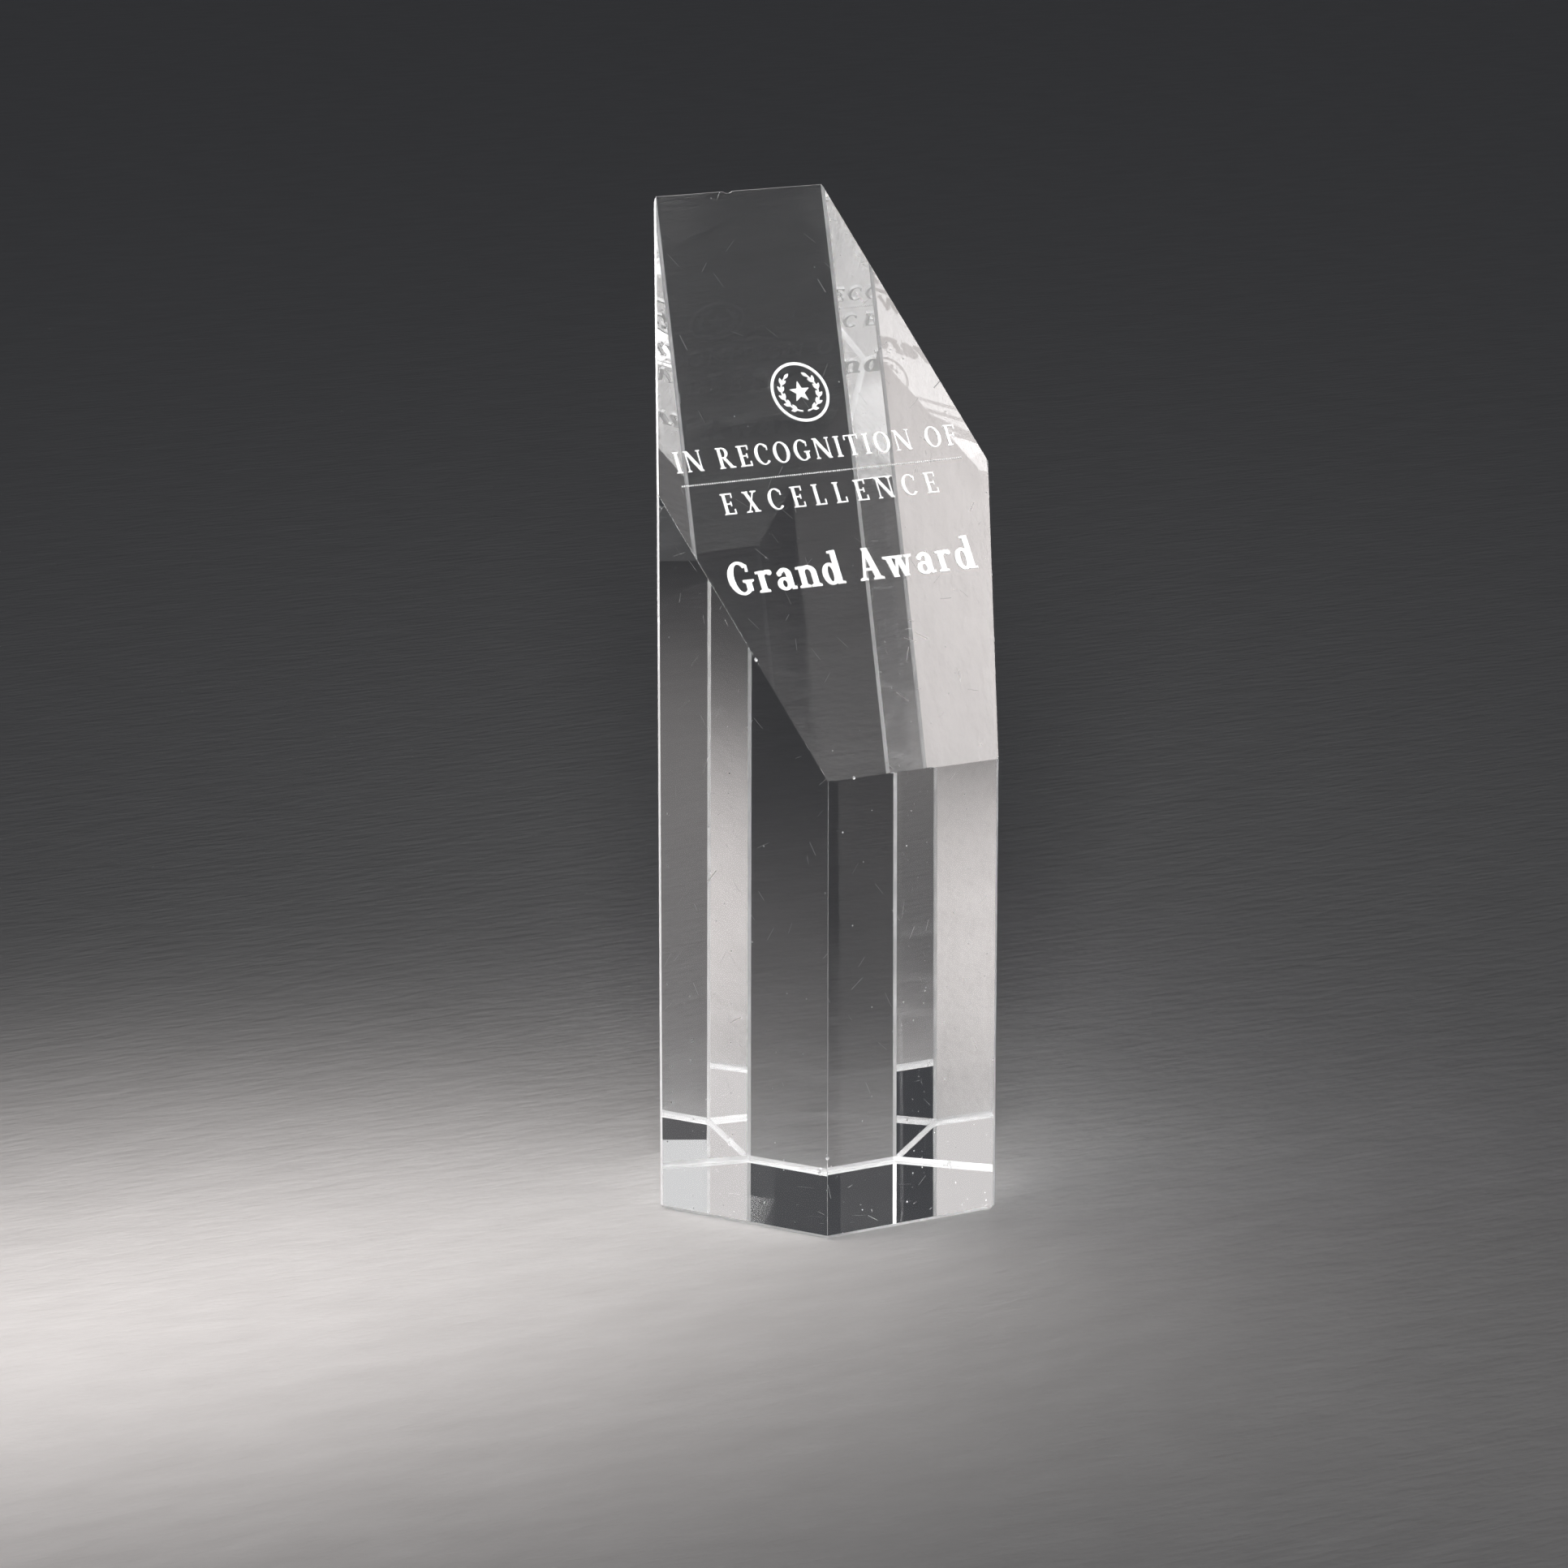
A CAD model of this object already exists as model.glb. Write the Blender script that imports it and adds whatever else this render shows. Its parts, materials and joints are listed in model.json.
"""The looks of a crystal award: polished crystal, blasted white marks, and the studio they stand in."""

import json
import logging
import math
from collections.abc import Callable
from dataclasses import dataclass, field
from enum import Enum

import bpy
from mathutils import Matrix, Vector

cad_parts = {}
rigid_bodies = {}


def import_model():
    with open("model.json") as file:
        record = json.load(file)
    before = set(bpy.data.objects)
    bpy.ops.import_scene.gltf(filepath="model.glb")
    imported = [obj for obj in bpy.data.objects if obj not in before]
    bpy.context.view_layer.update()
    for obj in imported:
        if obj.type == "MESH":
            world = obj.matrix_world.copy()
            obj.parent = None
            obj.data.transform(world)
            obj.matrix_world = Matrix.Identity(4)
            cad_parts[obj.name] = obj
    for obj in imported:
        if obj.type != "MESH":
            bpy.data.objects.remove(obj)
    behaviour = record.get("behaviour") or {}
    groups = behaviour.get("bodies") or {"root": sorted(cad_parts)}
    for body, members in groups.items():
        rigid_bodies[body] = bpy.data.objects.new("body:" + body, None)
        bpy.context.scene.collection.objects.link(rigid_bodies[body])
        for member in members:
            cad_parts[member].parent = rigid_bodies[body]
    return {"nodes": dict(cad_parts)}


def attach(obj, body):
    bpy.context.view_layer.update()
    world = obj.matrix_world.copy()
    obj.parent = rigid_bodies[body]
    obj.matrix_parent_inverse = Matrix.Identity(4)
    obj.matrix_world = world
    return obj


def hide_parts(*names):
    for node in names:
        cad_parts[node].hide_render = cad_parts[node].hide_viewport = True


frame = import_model()

LOG = logging.getLogger("crystal_award")
BODY = "root"

MM = 0.001
NEAR = 0.01 * MM
CRYSTAL_IOR = 1.56
WARM = (1.0, 0.955, 0.94)
WHITE = (1.0, 1.0, 1.0)
OVERHEAD = 89.9


class Slot(Enum):
    """The record's material slots."""

    CRYSTAL = "crystal"
    WHITE_FILL = "white_fill"


class Select(Enum):
    """What edit mode selects."""

    VERTICES = "VERT"
    EDGES = "EDGE"


def direction(azimuth: float, elevation: float) -> Vector:
    """A unit vector from the award towards a place round it.

    Args:
        azimuth: degrees round the award, 0 at its front and 90 at its right.
        elevation: degrees above the floor.

    Returns:
        The unit vector.
    """
    turn, rise = math.radians(azimuth), math.radians(elevation)
    return Vector((math.sin(turn) * math.cos(rise), -math.cos(turn) * math.cos(rise), math.sin(rise)))


class Bench:
    """The modelling steps that several pieces share."""

    @staticmethod
    def clear() -> None:
        """Leave edit mode and deselect everything."""
        if bpy.context.object and bpy.context.object.mode != "OBJECT":
            bpy.ops.object.mode_set(mode="OBJECT")
        bpy.ops.object.select_all(action="DESELECT")

    @staticmethod
    def only(obj: bpy.types.Object) -> None:
        """Make one object the only selected one, and the active one.

        Args:
            obj: the object.
        """
        Bench.clear()
        obj.select_set(True)
        bpy.context.view_layer.objects.active = obj

    @staticmethod
    def pick(obj: bpy.types.Object, what: Select, wanted: Callable[[Vector], bool]) -> None:
        """Enter edit mode with some of an object's parts selected.

        Args:
            obj: the object to edit.
            what: the kind of part to select.
            wanted: whether a part is selected, from its middle.
        """
        Bench.only(obj)
        bpy.ops.object.mode_set(mode="EDIT")
        bpy.ops.mesh.select_mode(type=what.value)
        bpy.ops.mesh.select_all(action="DESELECT")
        bpy.ops.object.mode_set(mode="OBJECT")
        mesh = obj.data
        if what is Select.VERTICES:
            for vertex in mesh.vertices:
                vertex.select = wanted(vertex.co)
        else:
            for edge in mesh.edges:
                start, end = (mesh.vertices[number].co for number in edge.vertices)
                edge.select = wanted((start + end) / 2)
        bpy.ops.object.mode_set(mode="EDIT")

    @staticmethod
    def stretch(obj: bpy.types.Object, factors: tuple[float, float, float]) -> None:
        """Stretch the whole of an object about its origin, in edit mode.

        Args:
            obj: the object.
            factors: the stretch along X, Y and Z.
        """
        Bench.only(obj)
        bpy.ops.object.mode_set(mode="EDIT")
        bpy.ops.mesh.select_all(action="SELECT")
        bpy.ops.transform.resize(value=factors, center_override=obj.location)
        bpy.ops.object.mode_set(mode="OBJECT")

    @staticmethod
    def apply(obj: bpy.types.Object, name: str) -> None:
        """Apply one modifier."""
        Bench.only(obj)
        bpy.ops.object.modifier_apply(modifier=name)

    @staticmethod
    def settle(obj: bpy.types.Object) -> None:
        """Put the object's place into its mesh, with its origin at the world's."""
        Bench.only(obj)
        bpy.ops.object.transform_apply(location=True, rotation=True, scale=True)


@dataclass
class Net:
    """A node tree under construction, with its links made by the node that takes them."""

    tree: bpy.types.NodeTree

    def add(self, kind: str, inputs: dict | None = None, **settings: object) -> bpy.types.Node:
        """Add a node.

        Args:
            kind: the node's type.
            inputs: socket name or number to a value, or to the socket that feeds it.
            settings: the node's own properties.

        Returns:
            The node.
        """
        node = self.tree.nodes.new(kind)
        for key, value in settings.items():
            setattr(node, key, value)
        self.feed(node, inputs or {})
        return node

    def feed(self, node: bpy.types.Node, inputs: dict) -> None:
        """Set or link a node's inputs.

        Args:
            node: the node.
            inputs: socket name or number to a value, or to the socket that feeds it.
        """
        for key, value in inputs.items():
            if isinstance(value, bpy.types.NodeSocket):
                self.tree.links.new(value, node.inputs[key])
            else:
                node.inputs[key].default_value = value

    def step(self, value: bpy.types.NodeSocket, low: float, high: float) -> bpy.types.NodeSocket:
        """A smooth step from 0 at low to 1 at high, or the other way where low is the greater.

        Args:
            value: the socket that is stepped.
            low: where the step is 0.
            high: where the step is 1.

        Returns:
            The socket of the step.
        """
        rising = high > low
        ends = {"Value": value, "From Min": min(low, high), "From Max": max(low, high),
                "To Min": 0.0 if rising else 1.0, "To Max": 1.0 if rising else 0.0}
        return self.add("ShaderNodeMapRange", ends, interpolation_type="SMOOTHSTEP").outputs["Result"]

    def math(self, operation: str, a: object, b: object = 0.0) -> bpy.types.NodeSocket:
        """One sum on two values or sockets."""
        return self.add("ShaderNodeMath", {0: a, 1: b}, operation=operation).outputs[0]

    def vector(self, operation: str, a: object, b: object = (0.0, 0.0, 0.0)) -> bpy.types.NodeSocket:
        """One sum on two vectors, which gives a number for a product or a length."""
        node = self.add("ShaderNodeVectorMath", {0: a, 1: b}, operation=operation)
        return node.outputs["Value" if operation in ("DOT_PRODUCT", "LENGTH") else "Vector"]

    def bump(self, shader: bpy.types.Node, height: bpy.types.NodeSocket, depth: float) -> None:
        """Give a shader a relief.

        Args:
            shader: the shader.
            height: the socket of the relief.
            depth: the relief's depth in metres.
        """
        relief = self.add("ShaderNodeBump", {"Height": height, "Distance": depth})
        self.feed(shader, {"Normal": relief.outputs["Normal"]})

    def shade(self, shader: bpy.types.Node, share: bpy.types.NodeSocket,
              dark: tuple[float, float, float], light: tuple[float, float, float]) -> None:
        """Give a shader a colour that varies between two.

        Args:
            shader: the shader.
            share: the socket that is 0 where the colour is dark and 1 where it is light.
            dark: the dark colour.
            light: the light colour.
        """
        colour = self.add("ShaderNodeMix", {"Factor": share}, data_type="RGBA")
        colour.inputs["A"].default_value = (*dark, 1.0)
        colour.inputs["B"].default_value = (*light, 1.0)
        self.feed(shader, {"Base Color": colour.outputs["Result"]})


class Group:
    """A shader node group that is built once and placed in several materials."""

    name = ""
    takes: dict[str, float] = {}
    gives: tuple[str, ...] = ()
    built: bpy.types.NodeTree | None = None

    @classmethod
    def tree(cls) -> bpy.types.NodeTree:
        """The group's node tree, built when it is first asked for.

        Returns:
            The node tree.
        """
        if cls.built is None:
            tree = bpy.data.node_groups.new(cls.name, "ShaderNodeTree")
            tree.interface.new_socket("Vector", in_out="INPUT", socket_type="NodeSocketVector")
            for socket, value in cls.takes.items():
                made = tree.interface.new_socket(socket, in_out="INPUT", socket_type="NodeSocketFloat")
                made.default_value = value
            for socket in cls.gives:
                tree.interface.new_socket(socket, in_out="OUTPUT", socket_type="NodeSocketFloat")
            net = Net(tree)
            source = net.add("NodeGroupInput")
            results = cls.wire(net, source.outputs)
            net.add("NodeGroupOutput", dict(zip(cls.gives, results)))
            cls.built = tree
        return cls.built

    @classmethod
    def wire(cls, net: Net, given: bpy.types.NodeOutputs) -> tuple[bpy.types.NodeSocket, ...]:
        """Wire the group's nodes.

        Args:
            net: the group's tree.
            given: the group's inputs.

        Returns:
            The sockets that the group gives, in order.
        """
        raise NotImplementedError

    @classmethod
    def place(cls, net: Net, inputs: dict) -> bpy.types.NodeOutputs:
        """Place the group in a material.

        Args:
            net: the material's tree.
            inputs: the group's inputs for this material.

        Returns:
            The placed group's outputs.
        """
        node = net.add("ShaderNodeGroup", node_tree=cls.tree())
        net.feed(node, inputs)
        return node.outputs


class Scratches(Group):
    """Short straight hairline scratches, each at its own angle and place."""

    name = "Hairline scratches"
    takes = {"Scale": 150.0, "Width": 0.05 * MM, "Reach": 2 * MM, "Amount": 0.3}
    gives = ("Mask",)
    line_core = 0.4
    full_reach = 0.7

    @classmethod
    def wire(cls, net: Net, given: bpy.types.NodeOutputs) -> tuple[bpy.types.NodeSocket, ...]:
        """Cut each surface with small thin discs, one in a few of the cells, each at a random angle.

        Args:
            net: the group's tree.
            given: the cells' scale, the discs' thickness and radius, and the share of cells with one.

        Returns:
            The socket of the scratches' mask.
        """
        place = given["Vector"]
        cells = net.add("ShaderNodeTexVoronoi", {"Vector": place, "Scale": given["Scale"]})
        middle = cells.outputs["Position"]
        away = net.vector("SUBTRACT", place, middle)
        chance = net.add("ShaderNodeTexWhiteNoise", {"Vector": middle})
        angle = net.vector("NORMALIZE", net.vector("SUBTRACT", chance.outputs["Color"], (0.5, 0.5, 0.5)))
        across = net.math("ABSOLUTE", net.vector("DOT_PRODUCT", away, angle))
        line = net.step(net.math("DIVIDE", across, given["Width"]), 1.0, cls.line_core)
        span = net.math("DIVIDE", net.vector("LENGTH", away), given["Reach"])
        kept = net.math("LESS_THAN", chance.outputs["Value"], given["Amount"])
        disc = net.math("MULTIPLY", line, net.step(span, 1.0, cls.full_reach))
        return (net.math("MULTIPLY", disc, kept),)


class Specks(Group):
    """Small round specks of dust."""

    name = "Dust specks"
    takes = {"Scale": 500.0, "Size": 0.1, "Amount": 0.03}
    gives = ("Mask",)
    speck_core = 0.6

    @classmethod
    def wire(cls, net: Net, given: bpy.types.NodeOutputs) -> tuple[bpy.types.NodeSocket, ...]:
        """Put a spot in a few of the cells.

        Args:
            net: the group's tree.
            given: the cells' scale, the spots' size as a share of a cell, and the share of cells with one.

        Returns:
            The socket of the specks' mask.
        """
        cells = net.add("ShaderNodeTexVoronoi", {"Vector": given["Vector"], "Scale": given["Scale"]})
        share = net.math("DIVIDE", cells.outputs["Distance"], given["Size"])
        chosen = net.add("ShaderNodeSeparateColor", {"Color": cells.outputs["Color"]}).outputs["Red"]
        kept = net.math("LESS_THAN", chosen, given["Amount"])
        return (net.math("MULTIPLY", net.step(share, 1.0, cls.speck_core), kept),)


class Grain(Group):
    """A fine, uneven grain at two sizes."""

    name = "Grain"
    takes = {"Fine Scale": 3000.0, "Broad Scale": 400.0}
    gives = ("Fine", "Broad")
    detail = 3.0

    @classmethod
    def wire(cls, net: Net, given: bpy.types.NodeOutputs) -> tuple[bpy.types.NodeSocket, ...]:
        """Give a noise at each size.

        Args:
            net: the group's tree.
            given: the two scales.

        Returns:
            The sockets of the fine and the broad noise.
        """
        found = []
        for key in cls.takes:
            inputs = {"Vector": given["Vector"], "Scale": given[key], "Detail": cls.detail}
            found.append(net.add("ShaderNodeTexNoise", inputs).outputs["Fac"])
        return tuple(found)


@dataclass(frozen=True)
class Finish:
    """A material, and its roughness where it is even."""

    name: str
    roughness: float

    def start(self) -> tuple[bpy.types.Material, Net, bpy.types.Node, bpy.types.NodeSocket]:
        """Begin the material.

        Returns:
            The material, its tree, its shader, and the socket of the Object coordinates.
        """
        material = bpy.data.materials.new(self.name)
        material.use_nodes = True
        net = Net(material.node_tree)
        shader = material.node_tree.nodes["Principled BSDF"]
        shader.inputs["Roughness"].default_value = self.roughness
        place = net.add("ShaderNodeTexCoord").outputs["Object"]
        return material, net, shader, place


@dataclass(frozen=True)
class PolishedCrystal(Finish):
    """Optical crystal, polished on every face and lightly used."""

    name: str = "polished_crystal"
    roughness: float = 0.0
    tint: tuple[float, float, float] = (0.992, 0.995, 0.996)
    scratches: float = 0.35
    scratch_roughness: float = 0.6
    speck_scale: float = 420.0
    speck_size: float = 0.09
    speck_roughness: float = 0.9
    dust: float = 0.06
    low_dust: float = 0.22
    dusty_height: float = 100 * MM

    def build(self) -> bpy.types.Material:
        """Make the material: clear glass, frosted only in its scratches and under its dust.

        Returns:
            The material.
        """
        material, net, shader, place = self.start()
        net.feed(shader, {"Base Color": (*self.tint, 1.0), "Transmission Weight": 1.0, "IOR": CRYSTAL_IOR})
        scratches = Scratches.place(net, {"Vector": place, "Amount": self.scratches})
        height = net.add("ShaderNodeSeparateXYZ", {"Vector": place}).outputs["Z"]
        lowness = net.step(height, self.dusty_height, 0.0)
        dust = net.math("ADD", net.math("MULTIPLY", lowness, self.low_dust), self.dust)
        specks = Specks.place(net, {"Vector": place, "Scale": self.speck_scale,
                                    "Size": self.speck_size, "Amount": dust})
        marks = net.math("MAXIMUM", net.math("MULTIPLY", scratches["Mask"], self.scratch_roughness),
                         net.math("MULTIPLY", specks["Mask"], self.speck_roughness))
        net.feed(shader, {"Roughness": net.math("MAXIMUM", marks, self.roughness)})
        return material


@dataclass(frozen=True)
class GroundEdge(Finish):
    """The crystal where its edges are ground: clear below, satin on top, so that it gathers light."""

    name: str = "ground_edge"
    roughness: float = 0.5
    unevenness: float = 0.15
    colour: tuple[float, float, float] = (0.96, 0.96, 0.96)
    clear_share: float = 0.5
    grain_scale: float = 2600.0
    patch_scale: float = 180.0
    patch_ends: tuple[float, float] = (0.3, 0.7)
    grinding_depth: float = 0.02 * MM

    def build(self) -> bpy.types.Material:
        """Make the material.

        Returns:
            The material.
        """
        material, net, shader, place = self.start()
        net.feed(shader, {"Base Color": (*self.colour, 1.0), "Transmission Weight": self.clear_share,
                          "IOR": CRYSTAL_IOR})
        scales = {"Fine Scale": self.grain_scale, "Broad Scale": self.patch_scale}
        grain = Grain.place(net, {"Vector": place, **scales})
        low, high = self.patch_ends
        ends = {"Value": grain["Broad"], "From Min": low, "From Max": high,
                "To Min": self.roughness - self.unevenness, "To Max": self.roughness + self.unevenness}
        net.feed(shader, {"Roughness": net.add("ShaderNodeMapRange", ends).outputs["Result"]})
        net.bump(shader, grain["Fine"], self.grinding_depth)
        return material


@dataclass(frozen=True)
class BlastedWhite(Finish):
    """The white filling of a sandblasted mark: matt, grainy and a little uneven."""

    name: str = "blasted_white"
    roughness: float = 0.85
    light: tuple[float, float, float] = (0.93, 0.925, 0.92)
    dark: tuple[float, float, float] = (0.74, 0.735, 0.73)
    grain_scale: float = 5200.0
    patch_scale: float = 900.0
    thin_below: float = 0.36
    full_above: float = 0.56
    grain_depth: float = 0.03 * MM

    def build(self) -> bpy.types.Material:
        """Make the material.

        Returns:
            The material.
        """
        material, net, shader, place = self.start()
        scales = {"Fine Scale": self.grain_scale, "Broad Scale": self.patch_scale}
        grain = Grain.place(net, {"Vector": place, **scales})
        cover = net.math("MULTIPLY", net.math("ADD", grain["Fine"], grain["Broad"]), 0.5)
        net.shade(shader, net.step(cover, self.thin_below, self.full_above), self.dark, self.light)
        net.bump(shader, grain["Fine"], self.grain_depth)
        return material


@dataclass(frozen=True)
class PaleFloor(Finish):
    """A pale surface with a low drawn grain."""

    name: str = "pale_floor"
    roughness: float = 0.8
    light: tuple[float, float, float] = (0.62, 0.61, 0.605)
    dark: tuple[float, float, float] = (0.50, 0.49, 0.485)
    grain_scale: float = 110.0
    patch_scale: float = 40.0
    relief: float = 0.6 * MM
    stretch: float = 3.0

    def build(self) -> bpy.types.Material:
        """Make the material.

        Returns:
            The material.
        """
        material, net, shader, place = self.start()
        along = {"Vector": place, "Scale": (1.0, self.stretch, 1.0)}
        scales = {"Fine Scale": self.grain_scale, "Broad Scale": self.patch_scale}
        drawn = net.add("ShaderNodeMapping", along).outputs["Vector"]
        grain = Grain.place(net, {"Vector": drawn, **scales})
        net.bump(shader, grain["Fine"], self.relief)
        net.shade(shader, grain["Broad"], self.dark, self.light)
        return material


class Corner(Enum):
    """The block's sharp corners: the sizes and sides that place each, and its height."""

    TOP_LEFT = ("front_half", -1, 1, "back_height")
    TOP_RIGHT = ("front_half", 1, 1, "back_height")
    MIDDLE_LEFT = ("corner", -1, 0, "middle_height")
    MIDDLE_RIGHT = ("corner", 1, 0, "middle_height")
    LOW_LEFT = ("front_half", -1, -1, "front_height")
    LOW_RIGHT = ("front_half", 1, -1, "front_height")
    BASE_FRONT_LEFT = ("front_half", -1, -1, "foot")
    BASE_FRONT_RIGHT = ("front_half", 1, -1, "foot")
    BASE_LEFT = ("corner", -1, 0, "foot")
    BASE_RIGHT = ("corner", 1, 0, "foot")
    BASE_BACK_LEFT = ("front_half", -1, 1, "foot")
    BASE_BACK_RIGHT = ("front_half", 1, 1, "foot")


@dataclass(frozen=True)
class Nick:
    """A shell-shaped chip, at a share of the way along the edge between two corners."""

    start: Corner
    end: Corner
    share: float
    width: float
    depth: float


@dataclass
class CrystalBlock:
    """The six-sided block with its slope, measured on its CAD node."""

    node: str = "crystal_tower"
    foot: float = 0.0
    nicks: tuple[Nick, ...] = (
        Nick(Corner.TOP_LEFT, Corner.TOP_RIGHT, 0.43, 2.4 * MM, 0.85 * MM),
        Nick(Corner.TOP_LEFT, Corner.TOP_RIGHT, 0.71, 0.8 * MM, 0.35 * MM),
        Nick(Corner.TOP_LEFT, Corner.TOP_RIGHT, 0.94, 1.1 * MM, 0.40 * MM),
        Nick(Corner.TOP_RIGHT, Corner.MIDDLE_RIGHT, 0.52, 0.9 * MM, 0.35 * MM),
        Nick(Corner.MIDDLE_LEFT, Corner.LOW_LEFT, 0.58, 0.8 * MM, 0.35 * MM),
        Nick(Corner.LOW_LEFT, Corner.LOW_RIGHT, 0.15, 0.7 * MM, 0.35 * MM),
        Nick(Corner.TOP_LEFT, Corner.BASE_BACK_LEFT, 0.24, 0.9 * MM, 0.40 * MM),
        Nick(Corner.MIDDLE_LEFT, Corner.BASE_LEFT, 0.17, 0.8 * MM, 0.40 * MM),
        Nick(Corner.MIDDLE_RIGHT, Corner.BASE_RIGHT, 0.63, 0.9 * MM, 0.40 * MM),
        Nick(Corner.LOW_LEFT, Corner.BASE_FRONT_LEFT, 0.82, 0.8 * MM, 0.40 * MM),
        Nick(Corner.BASE_LEFT, Corner.BASE_FRONT_LEFT, 0.36, 1.6 * MM, 0.85 * MM),
        Nick(Corner.BASE_FRONT_LEFT, Corner.BASE_FRONT_RIGHT, 0.57, 1.4 * MM, 0.80 * MM),
        Nick(Corner.BASE_BACK_RIGHT, Corner.BASE_RIGHT, 0.44, 1.5 * MM, 0.85 * MM),
    )
    clear_edges: tuple[tuple[Corner, Corner], ...] = (
        (Corner.BASE_FRONT_LEFT, Corner.LOW_LEFT),
        (Corner.LOW_LEFT, Corner.LOW_RIGHT),
        (Corner.LOW_LEFT, Corner.MIDDLE_LEFT),
        (Corner.LOW_RIGHT, Corner.MIDDLE_RIGHT),
    )
    cad_chamfer: float = 0.4 * MM
    upright_chamfer: float = 0.5 * MM
    slope_chamfer: float = 0.42 * MM
    base_chamfer: float = 0.82 * MM
    clear_chamfer: float = 0.08 * MM
    chamfer_segments: int = 2
    chamfer_profile: float = 0.3
    nick_detail: int = 3
    nick_unevenness: float = 0.12
    mark_relief: float = 0.02 * MM
    flat: float = field(init=False)
    corner: float = field(init=False)
    front_half: float = field(init=False)
    front_height: float = field(init=False)
    back_height: float = field(init=False)

    def __post_init__(self) -> None:
        """Read the block's sharp sizes off its CAD node's flats."""
        points = [vertex.co for vertex in frame["nodes"][self.node].data.vertices]
        self.flat = max(point.y for point in points)
        front = [point for point in points if point.y < NEAR - self.flat]
        back = [point for point in points if point.y > self.flat - NEAR]
        side = max(point.x for point in points)
        self.front_half = max(point.x for point in front) + self.cad_chamfer
        lean = (side - self.front_half) / math.hypot(side - self.front_half, self.flat)
        self.corner = side + self.cad_chamfer * lean
        self.front_height = max(point.z for point in front) + self.cad_chamfer
        self.back_height = max(point.z for point in back) + self.cad_chamfer

    @property
    def middle_height(self) -> float:
        """The height of the slope above the left and right corners."""
        return (self.front_height + self.back_height) / 2

    def place_of(self, corner: Corner) -> Vector:
        """Where one of the sharp corners is."""
        reach, side, end, height = corner.value
        return Vector((side * getattr(self, reach), end * self.flat, getattr(self, height)))

    @property
    def slope_normal(self) -> Vector:
        """The slope's outward normal."""
        return Vector((0, self.front_height - self.back_height, 2 * self.flat)).normalized()

    def build(self, faces: bpy.types.Material, edges: bpy.types.Material) -> bpy.types.Object:
        """Model the block and dress it.

        Args:
            faces: the finish of its polished faces.
            edges: the finish of its ground edges.

        Returns:
            The block.
        """
        Bench.clear()
        bpy.ops.mesh.primitive_cylinder_add(
            vertices=6, radius=self.corner, depth=self.back_height,
            location=(0, 0, self.back_height / 2), rotation=(0, 0, math.radians(90)))
        block = bpy.context.object
        block.name = "crystal_block"
        Bench.settle(block)
        block.data.materials.append(faces)
        block.data.materials.append(edges)
        self.fit_outline(block)
        self.cut_slope(block)
        self.chamfer(block)
        self.polish_clear_edges(block)
        for number, nick in enumerate(self.nicks):
            self.chip(block, nick, number)
        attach(block, BODY)
        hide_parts(self.node)
        LOG.info("made %s", block.name)
        return block

    def fit_outline(self, block: bpy.types.Object) -> None:
        """Stretch the regular hexagon to the real flats.

        Args:
            block: the hexagonal block, with its left and right corners at their real places.
        """
        regular_flat = self.corner * math.sqrt(3) / 2
        regular_half = self.corner / 2
        Bench.stretch(block, (1, self.flat / regular_flat, 1))
        Bench.pick(block, Select.VERTICES, lambda middle: abs(middle.y) > self.flat / 2)
        bpy.ops.transform.resize(value=(self.front_half / regular_half, 1, 1), center_override=(0, 0, 0))
        bpy.ops.object.mode_set(mode="OBJECT")

    def cut_slope(self, block: bpy.types.Object) -> None:
        """Cut the top off along the slope, just under the marks' flush faces.

        Args:
            block: the block.
        """
        normal = self.slope_normal
        low_edge = self.place_of(Corner.LOW_LEFT) - normal * self.mark_relief
        Bench.only(block)
        bpy.ops.object.mode_set(mode="EDIT")
        bpy.ops.mesh.select_all(action="SELECT")
        bpy.ops.mesh.bisect(plane_co=low_edge, plane_no=normal, use_fill=True, clear_outer=True)
        bpy.ops.object.mode_set(mode="OBJECT")

    def on_clear_edge(self, place: Vector, reach: float) -> bool:
        """Whether a place is near one of the edges that are nearly sharp and polished clear.

        Args:
            place: the place.
            reach: how near it is to be.

        Returns:
            Whether it is.
        """
        for start, end in self.clear_edges:
            foot = self.place_of(start)
            along = (self.place_of(end) - foot).normalized()
            away = place - foot
            if (away - along * away.dot(along)).length < reach:
                return True
        return False

    def chamfer(self, block: bpy.types.Object) -> None:
        """Grind each kind of edge to its own width, a little rounded by the polish.

        Args:
            block: the block, with sharp edges.
        """
        reach = 10 * NEAR
        normal, low_edge = self.slope_normal, self.place_of(Corner.LOW_LEFT)

        def on_slope(middle: Vector) -> bool:
            """Whether an edge bounds the slope."""
            return (middle - low_edge).dot(normal) > -reach

        def on_base(middle: Vector) -> bool:
            """Whether an edge bounds the underside."""
            return middle.z < reach

        def clear(middle: Vector) -> bool:
            """Whether an edge is one of the nearly sharp ones."""
            return self.on_clear_edge(middle, reach)

        def upright(middle: Vector) -> bool:
            """Whether an edge is any other that stands between two of the sides."""
            return not on_slope(middle) and not on_base(middle) and not clear(middle)

        kinds = (
            (self.slope_chamfer, lambda middle: on_slope(middle) and not clear(middle)),
            (self.base_chamfer, on_base),
            (self.clear_chamfer, clear),
            (self.upright_chamfer, upright),
        )
        widest = max(width for width, wanted in kinds)
        for width, wanted in kinds:
            Bench.pick(block, Select.EDGES, wanted)
            bpy.ops.transform.edge_bevelweight(value=width / widest)
            bpy.ops.object.mode_set(mode="OBJECT")
        bevel = block.modifiers.new("Chamfers", "BEVEL")
        bevel.limit_method = "WEIGHT"
        bevel.width = widest
        bevel.segments = self.chamfer_segments
        bevel.profile = self.chamfer_profile
        bevel.material = len(block.data.materials) - 1
        Bench.apply(block, "Chamfers")

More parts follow.
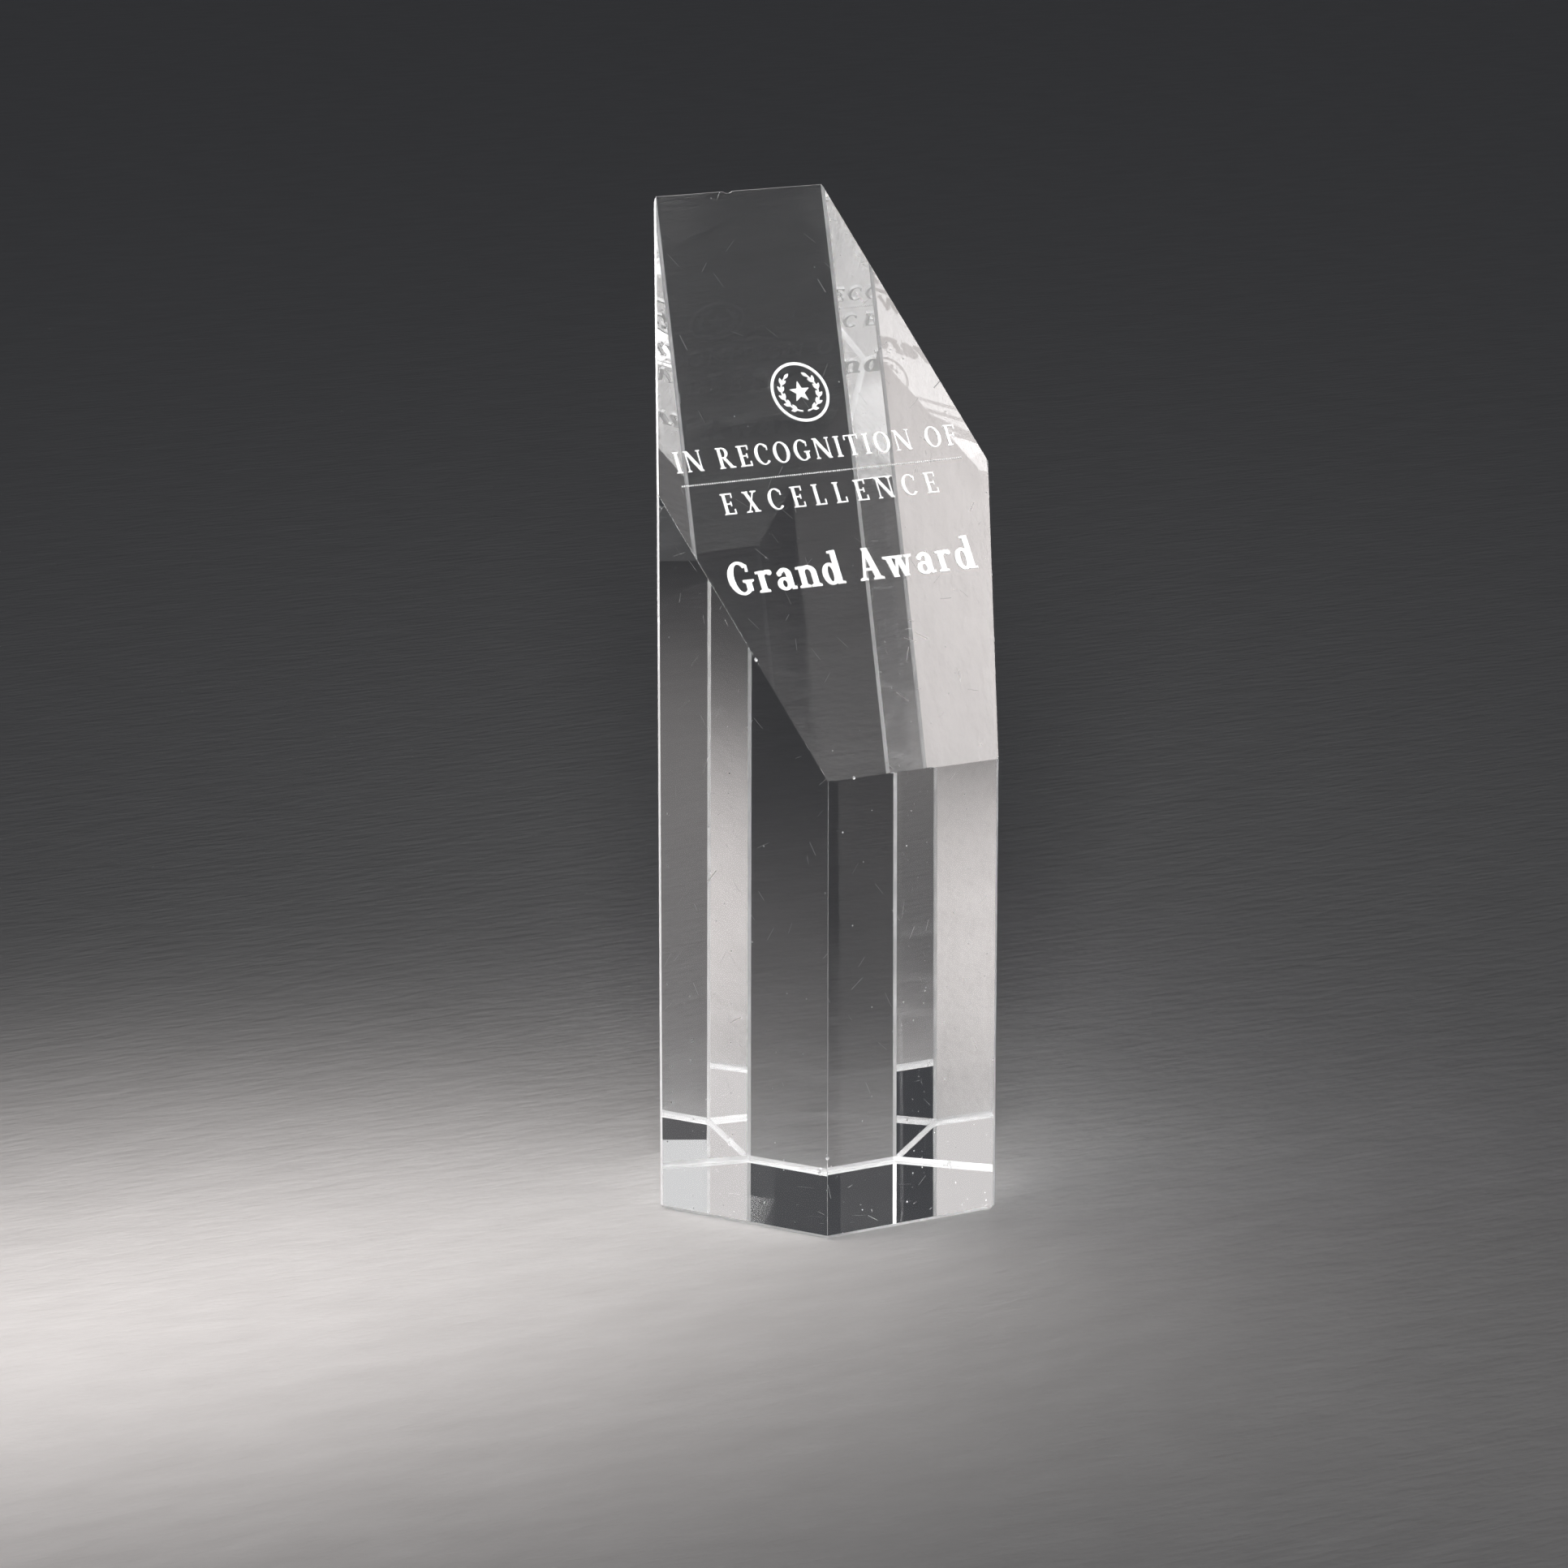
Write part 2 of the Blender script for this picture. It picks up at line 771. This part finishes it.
    def polish_clear_edges(self, block: bpy.types.Object) -> None:
        """Give the nearly sharp edges the faces' polish.

        Args:
            block: the block, with its chamfers.
        """
        for face in block.data.polygons:
            if self.on_clear_edge(face.center, 2 * self.clear_chamfer):
                face.material_index = 0

    def chip(self, block: bpy.types.Object, nick: Nick, number: int) -> None:
        """Break a small shell out of an edge, with the finish of the ground edges in it.

        Args:
            block: the block.
            nick: the shell's edge and sizes.
            number: the seed of the shell's uneven form.
        """
        start, end = self.place_of(nick.start), self.place_of(nick.end)
        Bench.clear()
        bpy.ops.mesh.primitive_ico_sphere_add(subdivisions=self.nick_detail, radius=nick.depth)
        shell = bpy.context.object
        bpy.ops.object.mode_set(mode="EDIT")
        bpy.ops.mesh.select_all(action="SELECT")
        bpy.ops.transform.resize(value=(1, 1, nick.width / nick.depth / 2))
        bpy.ops.transform.vertex_random(offset=nick.depth * self.nick_unevenness, seed=number)
        bpy.ops.object.mode_set(mode="OBJECT")
        shell.location = start.lerp(end, nick.share)
        shell.rotation_mode = "QUATERNION"
        shell.rotation_quaternion = (end - start).to_track_quat("Z", "Y")
        Bench.settle(shell)
        for finish in block.data.materials:
            shell.data.materials.append(finish)
        for face in shell.data.polygons:
            face.material_index = len(shell.data.materials) - 1
        cut = block.modifiers.new("Nick", "BOOLEAN")
        cut.operation = "DIFFERENCE"
        cut.object = shell
        Bench.apply(block, "Nick")
        bpy.data.objects.remove(shell)


@dataclass
class BeadedRule:
    """The rule between the lines of lettering: a row of blasted dots."""

    node: str = "rule"
    bead: float = 0.44 * MM
    bead_depth: float = 0.2 * MM
    pitch: float = 0.5 * MM
    segments: int = 10
    rings: int = 5

    def build(self, finish: bpy.types.Material, normal: Vector) -> bpy.types.Object:
        """Model one flattened bead, lay it in the slope and repeat it along the rule.

        Args:
            finish: the white material.
            normal: the slope's outward normal.

        Returns:
            The row of beads.
        """
        points = [vertex.co for vertex in frame["nodes"][self.node].data.vertices]
        left, right = min(point.x for point in points), max(point.x for point in points)
        flush = max(point.dot(normal) for point in points)
        face = [point for point in points if point.dot(normal) > flush - NEAR]
        middle = sum(face, Vector()) / len(face)
        Bench.clear()
        bpy.ops.mesh.primitive_uv_sphere_add(
            segments=self.segments, ring_count=self.rings, radius=self.bead / 2)
        row = bpy.context.object
        row.name = "rule_beads"
        Bench.stretch(row, (1, 1, self.bead_depth / self.bead))
        row.location = Vector((left + self.bead / 2, middle.y, middle.z)) - normal * self.bead_depth / 2
        row.rotation_mode = "QUATERNION"
        row.rotation_quaternion = Vector((0, 0, 1)).rotation_difference(normal)
        Bench.settle(row)
        array = row.modifiers.new("Row", "ARRAY")
        array.use_relative_offset = False
        array.use_constant_offset = True
        array.constant_offset_displace = (self.pitch, 0, 0)
        array.count = 1 + int((right - left - self.bead) / self.pitch)
        Bench.apply(row, "Row")
        bpy.ops.object.shade_smooth()
        row.data.materials.append(finish)
        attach(row, BODY)
        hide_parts(self.node)
        LOG.info("made %s", row.name)
        return row


@dataclass
class Marks:
    """The white marks in the slope, which are the CAD's own nodes."""

    replaced: tuple[str, ...] = (CrystalBlock.node, BeadedRule.node)

    def dress(self, finish: bpy.types.Material) -> None:
        """Give every mark its finish.

        Args:
            finish: the white material.
        """
        for name, node in frame["nodes"].items():
            if name not in self.replaced:
                node.data.materials.clear()
                node.data.materials.append(finish)
                LOG.info("dressed %s", name)


@dataclass(frozen=True)
class Softbox:
    """A rectangular studio light, aimed at a point on the floor or on the award."""

    name: str
    azimuth: float
    elevation: float
    distance: float
    width: float
    height: float
    power: float
    target: tuple[float, float, float] = (0.0, 0.0, 0.1)
    spread: float = 180.0
    colour: tuple[float, float, float] = WHITE
    award_only: bool = False

    def build(self) -> None:
        """Hang the light."""
        data = bpy.data.lights.new(self.name, "AREA")
        data.shape = "RECTANGLE"
        data.size = self.width
        data.size_y = self.height
        data.energy = self.power
        data.color = self.colour
        data.spread = math.radians(self.spread)
        lamp = bpy.data.objects.new(self.name, data)
        lamp.visible_camera = False
        bpy.context.scene.collection.objects.link(lamp)
        away = direction(self.azimuth, self.elevation)
        lamp.location = Vector(self.target) + away * self.distance
        lamp.rotation_mode = "QUATERNION"
        lamp.rotation_quaternion = away.to_track_quat("Z", "Y")
        if self.award_only:
            lamp.light_linking.receiver_collection = Studio.award()


# Hung low over the floor, where they make the pools that the crystal's strips look at.
FLOOR_LIGHTS = (
    Softbox("left_table", azimuth=-90, elevation=OVERHEAD, distance=0.16, width=0.12, height=0.3,
            power=0.24, target=(-0.19, 0, 0), spread=120, colour=WARM),
    Softbox("left_canopy", azimuth=-90, elevation=OVERHEAD, distance=0.22, width=0.3, height=0.5,
            power=0.07, target=(-0.36, 0, 0), spread=120, colour=WARM),
    Softbox("front_canopy", azimuth=30, elevation=OVERHEAD, distance=0.2, width=0.25, height=0.25,
            power=0.06, target=(0.20, -0.33, 0), spread=120, colour=WARM),
)

# From the front and the left: the key, two lights for the strips near the foot, and the lettering's.
FRONT_LIGHTS = (
    Softbox("key", azimuth=-32, elevation=19, distance=1.3, width=0.25, height=0.25,
            power=0.25, target=(0, 0, 0.12), spread=40),
    Softbox("left_low", azimuth=-85, elevation=18, distance=0.6, width=0.5, height=0.2,
            power=0.19, target=(0, 0, 0.03), colour=WARM, award_only=True),
    Softbox("front_right_card", azimuth=30, elevation=17.5, distance=0.262, width=0.036, height=0.034,
            power=0.00022, target=(0.026, 0.015, 0.014), spread=60, award_only=True),
    Softbox("letter_light", azimuth=-35, elevation=36, distance=1.3, width=0.35, height=0.35,
            power=0.5, target=(0, 0, 0.12), spread=60, award_only=True),
)

# From above, the sides and behind: what the ground edges gather.
EDGE_LIGHTS = (
    Softbox("top_back", azimuth=180, elevation=78, distance=1.25, width=1.5, height=0.55,
            power=18.0, target=(0, 0, 0.05), award_only=True),
    Softbox("rim_left", azimuth=-90, elevation=50, distance=1.0, width=0.9, height=0.5,
            power=8.0, award_only=True),
    Softbox("rim_right", azimuth=90, elevation=50, distance=1.0, width=0.9, height=0.5,
            power=7.0, award_only=True),
    Softbox("rim_back_low", azimuth=180, elevation=5, distance=1.0, width=0.5, height=0.1,
            power=4.0, award_only=True),
)


@dataclass
class Studio:
    """The floor, the lights and the dim room round them."""

    floor_half_width: float = 8.0
    floor_gap: float = 0.1 * MM
    room: tuple[float, float, float] = (0.048, 0.05, 0.055)
    lights: tuple[Softbox, ...] = FLOOR_LIGHTS + FRONT_LIGHTS + EDGE_LIGHTS
    bounces: int = 24

    @staticmethod
    def award() -> bpy.types.Collection:
        """The award's pieces without the staged floor, which some lights light alone.

        Returns:
            The collection, made when it is first asked for.
        """
        found = bpy.data.collections.get("award")
        if found is None:
            found = bpy.data.collections.new("award")
            for obj in bpy.context.scene.objects:
                if obj.type == "MESH" and "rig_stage" not in obj:
                    found.objects.link(obj)
        return found

    def build(self) -> None:
        """Lay the floor, hang the lights and dim the room."""
        Bench.clear()
        bpy.ops.mesh.primitive_plane_add(size=2 * self.floor_half_width, location=(0, 0, -self.floor_gap))
        floor = bpy.context.object
        floor.name = "floor"
        floor.data.materials.append(PaleFloor().build())
        floor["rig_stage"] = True
        for light in self.lights:
            light.build()
        world = bpy.data.worlds.new("room")
        world.use_nodes = True
        world.node_tree.nodes["Background"].inputs["Color"].default_value = (*self.room, 1.0)
        scene = bpy.context.scene
        scene.world = world
        scene.view_settings.view_transform = "Standard"
        scene.cycles.max_bounces = self.bounces
        scene.cycles.glossy_bounces = self.bounces
        scene.cycles.transmission_bounces = self.bounces


@dataclass
class Viewpoint:
    """The camera, a little above the award and to its left."""

    azimuth: float = -30.36
    elevation: float = 13.45
    distance: float = 1.1374
    lens: float = 127.46
    sensor: float = 36.0
    target: tuple[float, float, float] = (-0.0072, 0.0042, 0.0848)

    def build(self) -> None:
        """Set up the camera and make it the scene's."""
        data = bpy.data.cameras.new("camera")
        data.lens = self.lens
        data.sensor_width = self.sensor
        camera = bpy.data.objects.new("camera", data)
        bpy.context.scene.collection.objects.link(camera)
        away = direction(self.azimuth, self.elevation)
        camera.location = Vector(self.target) + away * self.distance
        camera.rotation_mode = "QUATERNION"
        camera.rotation_quaternion = away.to_track_quat("Z", "Y")
        bpy.context.scene.camera = camera


def main() -> None:
    """Build the award's looks and its studio."""
    logging.basicConfig(level=logging.INFO, format="%(message)s")
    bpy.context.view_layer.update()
    Viewpoint().build()
    block, white = CrystalBlock(), BlastedWhite().build()
    block.build(PolishedCrystal().build(), GroundEdge().build())
    BeadedRule().build(white, block.slope_normal)
    Marks().dress(white)
    Studio().build()


if __name__ == "__main__":
    main()
